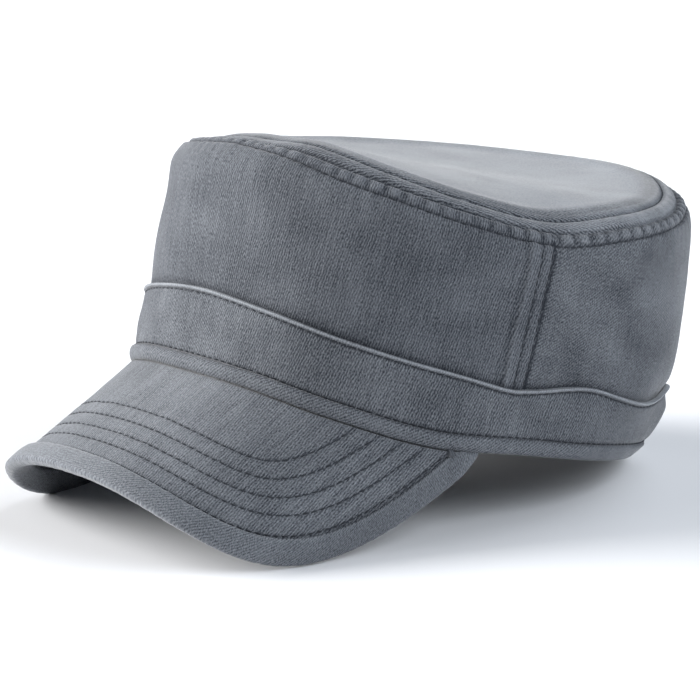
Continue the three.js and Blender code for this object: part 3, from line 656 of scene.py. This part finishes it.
# The face is paler across its rounded middle; painted shade lies along its top edge under the band and on its
# hidden faces.
face_tone = 0.25 * np.sin(math.pi * ramp(up, 0, 6)) - 0.45 * bell(up - 6, 0.7)
hem_tone = 0 * along + np.where(on_face, face_tone, -0.1)
hem_flat = np.stack([along, run_of(hem_section)[:, None] + 0 * along], -1)
hem = lay_cloth("hem_tape", hem_base, 0 * along, hem_flat, hem_tone, closed=True)
join_doubles(hem)
finish_cloth(hem, 0, ["hem"], edge=0.2)

# %% [markdown]
# The peak is drawn in the flat, as a pattern cutter does: a squarish outline, and the line where it is sewn
# under the hem. The flat board is then arched across and tipped forward. Each column of the grid runs from the
# outline in to the seat.

# %% Peak in the flat
PEAK_REACH, PEAK_END, PEAK_LEDGE, PEAK_WIDEST, PEAK_SQUARENESS = 60.8, 69, 3.4, 12, 3.27
PEAK_DROOP, PEAK_RISE, ARCH_TURN, ARCH_SPAN = math.radians(38.7), 4.9, math.radians(69), 0.516 * HEM_OVAL[1]
ARCH_POWER, ARCH_OPENING, BINDING_WIDTH, ARCH_STEPS = 1.43, 0.204, 9, 16


def arch_at(across, out):
    """How far out to the side, how far down and how steep the arch is."""
    turn = ARCH_TURN * (1 + ARCH_OPENING * out / PEAK_REACH)
    step = across / ARCH_STEPS
    side, fall = 0 * across, 0 * across
    for i in range(ARCH_STEPS):
        slope = turn * (step * (i + 0.5) / ARCH_SPAN) ** ARCH_POWER
        side, fall = side + np.cos(slope) * step, fall + np.sin(slope) * step
    return side, fall, turn * (across / ARCH_SPAN) ** ARCH_POWER


def sheet_place(flat, lift):
    """Point of the bent sheet at a spot in the flat, lifted off its upper face."""
    across, out = flat[..., 0], flat[..., 1]
    side, fall, slope = arch_at(np.abs(across), out)
    side, fall = side + lift * np.sin(slope), fall - lift * np.cos(slope)
    y = -HEM_OVAL[0] / 2 - out * math.cos(PEAK_DROOP) + fall * math.sin(PEAK_DROOP)
    z = PEAK_RISE - out * math.sin(PEAK_DROOP) - fall * math.cos(PEAK_DROOP)
    return np.stack([np.sign(across) * side, y, z], -1)


def seat_of(around):
    """Spot in the flat of the peak's seat under the hem, and how far off the sheet it lies."""
    place = wall_place(around, hem_height(around), np.full_like(around, STACK + SEAM_GAP)) - [0, 0, SEAM_GAP]
    behind, above = place[..., 1] + HEM_OVAL[0] / 2, place[..., 2] - PEAK_RISE
    out = -behind * math.cos(PEAK_DROOP) - above * math.sin(PEAK_DROOP)
    fall = behind * math.sin(PEAK_DROOP) - above * math.cos(PEAK_DROOP)
    low, high = 0 * around, 0 * around + HEM_OVAL[1]
    for _ in range(40):
        across = (low + high) / 2
        side, drop, slope = arch_at(across, out)
        short = (place[..., 0] - side) * np.cos(slope) + (fall - drop) * np.sin(slope) > 0
        low, high = np.where(short, across, low), np.where(short, high, across)
    flat = np.stack([across, out], -1)
    return flat, place - sheet_place(flat, 0)


def even_curve(values, lengths, shares):
    """Values of a half curve at equal steps of its length, mirrored for the right side."""
    half = np.stack([np.interp(np.abs(shares) * lengths[-1], lengths, v) for v in values.T], -1)
    half[..., 0] *= np.sign(shares)
    return half


seat_turns = np.linspace(0, PEAK_END, 161)
seat_line, seat_shift = seat_of(seat_turns)
half_width, set_back = seat_line[-1, 0] + PEAK_LEDGE, PEAK_WIDEST - seat_line[-1, 1]


def outline_at(angle):
    """Spot of the outline in the flat, at an angle in radians from the front."""
    side, front = np.sin(angle), np.cos(angle)
    reach = (np.abs(side) ** PEAK_SQUARENESS + np.abs(front) ** PEAK_SQUARENESS) ** (-1 / PEAK_SQUARENESS)
    return np.stack([half_width * side * reach, (PEAK_REACH + set_back) * front * reach - set_back], -1)


turns = np.linspace(0, math.pi / 2, 4001)
end_turn = turns[np.argmax(outline_at(turns)[:, 1] < seat_line[-1, 1])]
outline = outline_at(np.linspace(0, end_turn, 400))


def edge_spots(shares):
    """Spots of the outline at shares of its length."""
    return even_curve(outline, run_of(outline), shares)


def seat_values(values, shares):
    """Values of the seat line at shares of its length."""
    return even_curve(values, run_of(seat_line), shares)


def seat_angles(shares):
    """Angles round the cap at shares of the seat's length."""
    return seat_values(seat_turns[:, None] * [1, 0], shares)[:, 0]


whole_outline = np.concatenate([outline[:0:-1] * [-1, 1], outline])


def from_outline(flat, batch=4000):
    """Shortest distance in the flat from the outline, worked out in batches to save memory."""
    spots = flat.reshape(-1, 2)
    nearest = np.empty(len(spots))
    for i in range(0, len(spots), batch):
        gaps = spots[i : i + batch, None] - whole_outline[None, ::2]
        nearest[i : i + batch] = np.sqrt((gaps**2).sum(-1).min(1))
    return nearest.reshape(flat.shape[:-1])


def tuck_ends(points, shares):
    """Carries the last few millimetres at the peak's ends up behind the hem, where they are sewn in."""
    near = np.clip((np.abs(shares) - 0.93) / 0.07, 0, 1)[:, None] ** 2.2
    angle = seat_angles(shares)
    outward = outwards(angle)
    backward = np.stack([-outward[:, 1], outward[:, 0], 0 * angle], -1) * np.sign(angle)[:, None]
    return points + near * (2.6 * backward - 5 * outward + [0, 0, 3.6])


print("Outline", round(run_of(whole_outline)[-1]), "mm long, half width", round(float(half_width), 1))

# %% [markdown]
# Four rows of stitches run round the peak inside its binding, and each pulls the cloth down to the board in a
# shallow channel. The last rows of the grid tuck under the hem, so no gap shows there. On the near side the edge
# lies a millimetre further in than the solid's, and the binding's nose slants under it.

# %% Peak
PEAK_ROWS, ROW_STEP = (16.5, 22.5, 29, 35.5), 6.3
EDGE_INSET, BOARD_INSET, NOSE_SLANT = 1.0, 0.8, 0.8
# Rows under the hem: distance out from the wall, drop, and distance of cloth past the seat.
UNDER_HEM = ((STACK - 0.4, 0.28, 0.7), (STACK - 1.3, 0.1, 1.6), (1, 0.04, 3), (-1.2, 0.04, 5))
shares = np.linspace(-1, 1, 361)
near_side = soft_step(-shares, 0.4, 0.06)
# Painted light: the middle of the peak, where its arch faces up to the lamps, is paler, and so is the binding
# there.
painted_light_middle = 0.45 * bell(shares, 0.4)[None]
seat, shift, seat_angle = seat_values(seat_line, shares), seat_values(seat_shift, shares), seat_angles(shares)
edge = edge_spots(shares)
edge = edge + EDGE_INSET * near_side[:, None] * unit(seat - edge)
ways = np.concatenate([[0, 0.02], np.linspace(0.05, 1, 88)])
board_edge = edge + BOARD_INSET * unit(seat - edge)
flat = board_edge[None] + (seat - board_edge)[None] * ways[:, None, None]
peak_base = sheet_place(flat, 0) + shift[None] * (ways**2)[:, None, None]
inset = from_outline(flat)
for out, drop, past in UNDER_HEM:
    under = wall_place(seat_angle, hem_height(seat_angle), np.full_like(seat_angle, out)) - [0, 0, drop]
    peak_base = np.concatenate([peak_base, under[None]])
    flat = np.concatenate([flat, flat[len(ways) - 1 : len(ways)] - [0, past]])
    inset = np.concatenate([inset, inset[-1:]])
in_sight = np.concatenate([np.clip((1 - ways) * 14, 0, 1), np.zeros(len(UNDER_HEM))])[:, None]
field = ramp(inset, 9, 12) * in_sight
quilted = ramp(inset, 11, 14) * ramp(inset, 40, 36)
pillows = 0.12 * quilted * np.abs(np.sin((inset - PEAK_ROWS[0]) / ROW_STEP * math.pi))
flat_x, flat_y = flat[..., 0] * 2, flat[..., 1]
uneven = 0.12 * soft_noise(flat_x, flat_y, 9, 61) + 0.04 * soft_noise(flat_x, flat_y, 3, 62)
peak_relief = sum(groove(inset - row, 0.3, 0.5) for row in PEAK_ROWS) * np.minimum(field * 2, 1)
peak_relief += field * (pillows + uneven) - 0.25 * bell(inset - 9.3, 0.8)
# Painted shade in the stitch channels and in the groove inside the binding; the cloth is a little paler outside
# the quilting and on the pillows between the rows.
peak_tone = sum(-0.5 * bell(inset - row, 0.45) for row in PEAK_ROWS) - 0.4 * bell(inset - 9.6, 0.7)
peak_tone += painted_light_middle + 0.1 * (1 - quilted) + pillows
peak = lay_cloth("peak_cloth", tuck_ends(peak_base, shares), peak_relief, flat, peak_tone)
finish_cloth(peak, PEAK_BOARD, ["peak"])

# %% [markdown]
# The binding is a bias tape folded over the peak's edge and sewn through near its own edges. Its section runs
# under the board, round the nose and back over it, and it puckers slightly along the stitches.

# %% Peak binding
BOUND_PAST_SEAT = 2.2
tape = SEAM_GAP + BINDING_CLOTH
nose = np.radians(np.linspace(-80, 80, 9))
legs = np.array([1, 0.95, 0.87, 0.75, 0.6, 0.45, 0.3, 0.16, 0.05])
# Rows of the section: share of the binding's width or else a fixed distance in from the edge, and lift.
binding_section = [(share, None, -PEAK_BOARD - tape) for share in legs]
for a in nose:
    slanted = NOSE_SLANT * near_side * (1 - math.sin(a))
    nose_lift = PEAK_BOARD / 2 * (math.sin(a) - 1) + tape * math.sin(a)
    binding_section.append((None, slanted - (tape + 0.25) * math.cos(a), nose_lift))
binding_section += [(share, None, tape) for share in legs[::-1]]

ahead, astern = edge_spots(np.clip(shares + 0.01, -1, 1)), edge_spots(np.clip(shares - 0.01, -1, 1))
tangent = unit(ahead - astern)
length = np.linalg.norm(seat - edge, axis=-1)
inward = (seat - edge) / length[:, None]
across_edge = np.abs(inward[:, 0] * tangent[:, 1] - inward[:, 1] * tangent[:, 0])
bound = np.minimum((BINDING_WIDTH - EDGE_INSET * near_side) / across_edge, length + BOUND_PAST_SEAT)
sunk = ramp(bound / length, 0.5, 0.85)
run = np.interp(shares, np.linspace(-1, 1, len(whole_outline)), run_of(whole_outline))
binding_base, binding_flat, edge_near = [], [], []
for share, fixed, lift in binding_section:
    set_in = 2 * NOSE_SLANT * near_side * (lift < -PEAK_BOARD)
    distance = set_in + (bound - set_in) * share if fixed is None else 0 * bound + fixed
    way = np.clip(distance / length, 0, 1)
    spot = edge + inward * np.minimum(distance, length)[:, None]
    puffed = lift + 0 * way
    if fixed is None:
        swell = 0.35 * math.sin(math.pi * share) - 0.5 * (share > 0.98) - 0.12 * (share > 0.94)
        puffed += swell * (1 if lift > 0 else -1)
    if lift > 0:
        puffed -= sunk * ramp(way, 0.4, 1) * (puffed - 0.25)
    place = sheet_place(spot, puffed) + shift * (way**2)[:, None]
    binding_base.append(place - np.maximum(distance - length, 0)[:, None] * outwards(seat_angle))
    binding_flat.append(np.stack([run, distance if lift > -PEAK_BOARD / 2 else -distance], -1))
    edge_near.append(np.full(len(shares), 1.0 if share is None else share))
binding_base, binding_flat, edge_near = np.array(binding_base), np.array(binding_flat), np.array(edge_near)
along = binding_flat[..., 0]
sewn_edge = (edge_near > 0.7) * ramp(edge_near, 0.55, 0.95)
on_top = np.arange(len(binding_section))[:, None] > len(legs) + len(nose) // 2
on_nose = np.array([share is None for share, fixed, lift in binding_section])[:, None]
binding_relief = 0.14 * sewn_edge * puckers(along, 71, 5) + 0.06 * soft_noise(along, binding_flat[..., 1], 4, 72)
# On top the tape is a little paler just inside its sewn edge, with painted shade right at that edge where it meets
# the peak's cloth; the tape itself is paler than the cloth.
leg_tone = 0.3 * on_top * bell(edge_near - 0.93, 0.07) - 0.5 * on_top * bell(edge_near - 1.0, 0.02)
binding_tone = np.where(on_nose, 0.12, leg_tone) + 0.2 + painted_light_middle
binding_base = tuck_ends(binding_base, shares)
binding = lay_cloth("peak_binding_tape", binding_base, binding_relief, binding_flat, binding_tone)
finish_cloth(binding, BINDING_CLOTH, ["peak_binding"], edge=0.25)

# %% [markdown]
# One stitch is a grain of thread whose ends dip into the cloth. It is modelled once and copied along each row,
# at the spacing that the photograph shows.

# %% Stitches
STITCH_PITCH, STITCH_LENGTH, STITCH_LIFT, THREAD, END_DIP = 3.2, 2.5, 0.12, 0.3, 0.28
HEM_ROW, BINDING_ROW = 0.35, 9.7

bpy.ops.mesh.primitive_uv_sphere_add(segments=6, ring_count=6, radius=1)
grain = bpy.context.object
bpy.ops.object.mode_set(mode="EDIT")
bpy.ops.mesh.select_all(action="SELECT")
bpy.ops.transform.rotate(value=math.pi / 2, orient_axis="Y", center_override=(0, 0, 0))
bpy.ops.transform.resize(value=(STITCH_LENGTH / 2, THREAD, THREAD), center_override=(0, 0, 0))
bpy.ops.object.mode_set(mode="OBJECT")
grain_points = np.array([v.co for v in grain.data.vertices])
grain_points[:, 2] -= END_DIP * (grain_points[:, 0] / (STITCH_LENGTH / 2)) ** 2
grain_faces = [list(p.vertices) for p in grain.data.polygons]
bpy.data.objects.remove(grain)


def sew(name, rows):
    """Copies the stitch along rows of cloth. Each row is a line of points in metres and the cloth's directions."""
    points, faces = [], []
    for line, normals in rows:
        lengths = run_of(line) * 1000
        count = int((lengths[-1] - 1) / STITCH_PITCH)
        starts = (lengths[-1] - count * STITCH_PITCH) / 2 + STITCH_PITCH * np.arange(count)

        def at(values, distance):
            return np.stack([np.interp(distance, lengths, v) for v in values.T], -1)

        x = unit(at(line, starts + STITCH_LENGTH) - at(line, starts))
        y = unit(np.cross(at(normals, starts + STITCH_LENGTH / 2), x))
        z = np.cross(x, y)
        for m, a, b, c in zip(at(line, starts + STITCH_LENGTH / 2), x, y, z):
            offset = len(points) * len(grain_points)
            points.append(m + c * STITCH_LIFT / 1000 + grain_points @ np.array([a, b, c]) / 1000)
            faces += [[i + offset for i in face] for face in grain_faces]
    mesh = bpy.data.meshes.new(name)
    mesh.from_pydata(np.concatenate(points).tolist(), [], faces)
    piece = bpy.data.objects.new(name, mesh)
    bpy.context.scene.collection.objects.link(piece)
    choose(piece)
    bpy.ops.object.shade_smooth()
    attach(piece, "root")
    print(name, len(points), "stitches")
    return piece


def grid_row(name, index):
    """One whole row of a laid grid."""
    return [values[index] for values in laid[name]]


def grid_line(name, field, value, columns, rows):
    """Line across a laid grid where a field of its rows reaches a value."""
    picked = []
    for column in columns:
        values = field[rows, column]
        if values.min() < value < values.max():
            i = int(np.argmax(values > value))
            t = (value - values[i - 1]) / (values[i] - values[i - 1])
            picked.append([v[rows, column][i - 1] * (1 - t) + v[rows, column][i] * t for v in laid[name]])
    picked = np.array(picked)
    return picked[:, 0], picked[:, 1]


def peak_line(distance, spare):
    """Line at a distance from the peak's outline. It leaves out a few columns at the ends."""
    return grid_line("peak_cloth", inset, distance, range(spare, len(shares) - spare), slice(2, len(ways) - 2))


strip_row = len(laid["front_panel_cloth"][0]) - 1 - list(near_rim).index(STRIP)
ridge_row = len(below) - 1 - list(near_ridge).index(BAND_ROW)
stitches = [
    sew("rim_stitches", [grid_row("front_panel_cloth", strip_row), grid_row("back_panel_cloth", strip_row)]),
    sew("top_stitches", [grid_row("crown_top_cloth", crest_row)]),
    sew("ridge_stitches", [grid_row("band_cloth", ridge_row)]),
    sew("hem_stitches", [grid_line("band_cloth", above_hem, HEM_ROW, range(len(ring)), slice(None))]),
    sew("peak_stitches", [peak_line(row, 8) for row in PEAK_ROWS]),
    sew("binding_stitches", [peak_line(BINDING_ROW, 10)]),
]
lap_steps = [int(np.argmin(np.abs(run_round(beside_seam) * 1.02 - row))) for row in LAP_ROWS]
lap_columns = [-1 - step for step in lap_steps] + lap_steps
lap_lines = [[values[7 : strip_row - 1, column] for values in laid["front_panel_cloth"]] for column in lap_columns]
stitches.append(sew("side_seam_stitches", lap_lines))

# %% [markdown]
# A material's sums are easier to read as sums. `Term` wraps one socket, and adding or multiplying terms adds
# the Math nodes. `Paint` holds one material, and its `node` method adds any other node.

# %% Writing materials as sums
class Term:
    """A value in a material's sums."""

    def __init__(self, tree, socket):
        self.tree, self.socket = tree, socket

    def math(self, operation, other=None, swapped=False):
        node = self.tree.nodes.new("ShaderNodeMath")
        node.operation = operation
        values = [self] if other is None else [other, self] if swapped else [self, other]
        for socket, value in zip(node.inputs, values):
            if isinstance(value, Term):
                self.tree.links.new(value.socket, socket)
            else:
                socket.default_value = value
        return Term(self.tree, node.outputs[0])

    def __add__(self, other):
        return self.math("ADD", other)

    def __radd__(self, other):
        return self.math("ADD", other, True)

    def __sub__(self, other):
        return self.math("SUBTRACT", other)

    def __rsub__(self, other):
        return self.math("SUBTRACT", other, True)

    def __mul__(self, other):
        return self.math("MULTIPLY", other)

    def __rmul__(self, other):
        return self.math("MULTIPLY", other, True)


class Paint:
    """One material and its nodes."""

    def __init__(self, name):
        self.material = bpy.data.materials.new(name)
        self.material.use_nodes = True
        self.tree = self.material.node_tree
        self.shader = self.tree.nodes["Principled BSDF"]

    def node(self, kind, settings=None, inputs=None, output=0):
        node = self.tree.nodes.new(kind)
        for key, value in (settings or {}).items():
            setattr(node, key, value)
        for key, value in (inputs or {}).items():
            if isinstance(value, Term):
                self.tree.links.new(value.socket, node.inputs[key])
            else:
                node.inputs[key].default_value = value
        return Term(self.tree, node.outputs[output])

    def feed(self, name, term):
        self.tree.links.new(term.socket, self.shader.inputs[name])

    def fix(self, **values):
        for name, value in values.items():
            self.shader.inputs[name.replace("_", " ")].default_value = value


# %% [markdown]
# Washed twill is pale where the raised wales have rubbed and dark between them, in fine slanting lines about a
# millimetre apart. Washing also leaves upright streaks and soft clouds. `tone` adds the pale worn bumps of the
# seams, the painted shade in their valleys and the painted light on lit faces. A low sheen stands for the fuzz on
# the thread.

# %% Washed twill
DARK_GREY, WALE_STEP = (0.030, 0.034, 0.043, 1), 0.95
# The second grey here is only for the front panel: darker than the rest, to paint the shade on the wall that faces
# the camera.
PALE_GREY, SHADED_GREY = (0.195, 0.208, 0.228, 1), (0.168, 0.180, 0.200, 1)


def washed_twill(name, pale, slant, streaks, clouds, weave):
    """slant is the wale's direction in degrees from level. streaks, clouds and weave say how strong each is."""
    paint = Paint(name)
    spot = paint.node("ShaderNodeUVMap", {"uv_map": "UVMap"})
    parts = paint.node("ShaderNodeSeparateXYZ", inputs={"Vector": spot})
    u = parts * 10
    v = Term(paint.tree, parts.socket.node.outputs[1]) * 10

    def noise(x, y, detail=2.0):
        place = paint.node("ShaderNodeCombineXYZ", inputs={"X": x, "Y": y})
        settings, inputs = {"noise_dimensions": "2D"}, {"Vector": place, "Scale": 1.0, "Detail": detail}
        return paint.node("ShaderNodeTexNoise", settings, inputs)

    angle = math.radians(slant)
    wobble = noise(u * 0.35, v * 0.35)
    across_wale = u * -math.sin(angle) + v * math.cos(angle) + wobble * 0.9
    wale = (across_wale * (2 * math.pi / WALE_STEP)).math("SINE")
    broken = noise(u * 1.1, v * 0.8, 3.0)
    streak = noise(u * 0.75, v * 0.06 + 30, 3.0)
    fleck = noise(u * 2.5, v * 1.15 + 90, 2.0)
    cloud = noise(u * 0.045 + 7, v * 0.06, 3.0)
    # tone brings wear, painted light and painted shade into the colour.
    tone = paint.node("ShaderNodeAttribute", {"attribute_name": "tone"}, output=2)
    pattern = wale * broken * weave + (streak - 0.5) * streaks + (fleck - 0.5) * 1.8 + (cloud - 0.5) * clouds
    share = (pattern + tone * 0.55 + 0.45).math("MINIMUM", 1.5).math("MAXIMUM", 0.0)
    settings, inputs = {"data_type": "RGBA", "clamp_factor": False}, {"Factor": share, 6: DARK_GREY, 7: pale}
    paint.feed("Base Color", paint.node("ShaderNodeMix", settings, inputs, output=2))
    height = wale * 0.5 + fleck * 0.8 + broken * 0.4
    bump = paint.node("ShaderNodeBump", inputs={"Height": height, "Strength": 0.35, "Distance": 0.00025})
    paint.feed("Normal", bump)
    paint.fix(Roughness=0.93, Specular_IOR_Level=0.2, Sheen_Weight=0.4, Sheen_Roughness=0.3)
    return paint.material


for *looks, pieces in (
    ("front_twill", SHADED_GREY, 80, 0.5, 0.5, 0.5, [front_panel]),
    ("back_twill", PALE_GREY, 40, 0.3, 0.75, 0.3, [back_panel]),
    ("band_twill", PALE_GREY, 74, 0.45, 0.6, 0.5, [band]),
    ("top_twill", PALE_GREY, 62, 0.3, 0.3, 0.7, [crown_top]),
    ("peak_twill", PALE_GREY, 82, 0.7, 0.4, 0.5, [peak]),
    ("tape_twill", PALE_GREY, 38, 0.3, 0.3, 0.45, [hem, binding]),
):
    material = washed_twill(*looks)
    for piece in pieces:
        piece.data.materials.clear()
        piece.data.materials.append(material)

# %% [markdown]
# The thread is dark grey, a little smoother than the cloth, with a slight mottle where it has faded.

# %% Thread
NEW_THREAD, FADED_THREAD = (0.012, 0.014, 0.019, 1), (0.05, 0.055, 0.066, 1)
thread = Paint("grey_thread")
spot = thread.node("ShaderNodeTexCoord", output=3)
mottle = thread.node("ShaderNodeTexNoise", inputs={"Vector": spot, "Scale": 260.0})
inputs = {"Factor": mottle, 6: NEW_THREAD, 7: FADED_THREAD}
thread.feed("Base Color", thread.node("ShaderNodeMix", {"data_type": "RGBA"}, inputs, output=2))
thread.fix(Roughness=0.75, Specular_IOR_Level=0.3)
for piece in stitches:
    piece.data.materials.append(thread.material)
print("Materials:", len(bpy.data.materials))
